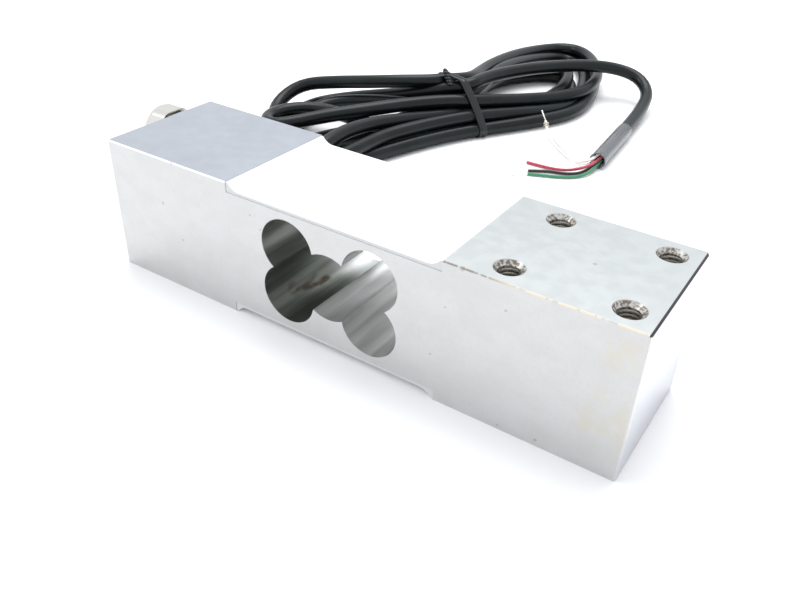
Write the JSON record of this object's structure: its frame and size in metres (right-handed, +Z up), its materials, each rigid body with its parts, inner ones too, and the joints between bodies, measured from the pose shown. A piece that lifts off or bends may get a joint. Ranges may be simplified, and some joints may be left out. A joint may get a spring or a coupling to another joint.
{
  "type": "single point load cell",
  "caption": "Rectangular single point load cell: metal bar with a lobed through bore, recessed gauge areas under white sealant, tapped mounting holes and a hanked cable.",
  "frame": {"origin": "centre of the bar's bottom face", "axes": "+X along the bar towards the end with the tapped holes on top, +Y across the bar towards the hanked cable, +Z up"},
  "size_m": [0.1955, 0.2713, 0.038],
  "materials": {
    "bar": "fine machined",
    "foil": "foil on film",
    "board": "printed board",
    "sealant": "cast sealing compound",
    "link_wire": "insulated wire",
    "potting": "potting compound",
    "gland_metal": "nickel plated",
    "gland_rubber": "moulded",
    "gland_claw": "moulded",
    "jacket": "satin cable jacket",
    "tie": "flat twist tie",
    "sleeve": "clear heat-shrink",
    "red_core": "wire insulation",
    "black_core": "wire insulation",
    "green_core": "wire insulation",
    "white_core": "wire insulation",
    "drain": "tinned copper strands"
  },
  "bodies": {
    "root": {"load_beam": "bar", "gauge_top_left": "foil", "gauge_top_right": "foil", "gauge_bottom_left": "foil", "gauge_bottom_right": "foil", "top_terminal_board": "board", "bottom_terminal_board": "board", "zero_trim_resistor": "board", "top_sealing_coat": "sealant", "bottom_sealing_coat": "sealant", "bridge_loom": "link_wire", "duct_cores": "link_wire", "duct_potting": "potting", "gland_gasket": "gland_rubber", "gland_body": "gland_metal", "gland_seal": "gland_rubber", "gland_claw": "gland_claw", "gland_nut": "gland_metal", "cable_lead": "jacket", "cable_hank": "jacket", "cable_tail": "jacket", "cable_tie": "tie", "end_sleeve": "sleeve", "core_red": "red_core", "core_black": "black_core", "core_green": "green_core", "core_white": "white_core", "drain_wire": "drain"}
  },
  "joints": []
}
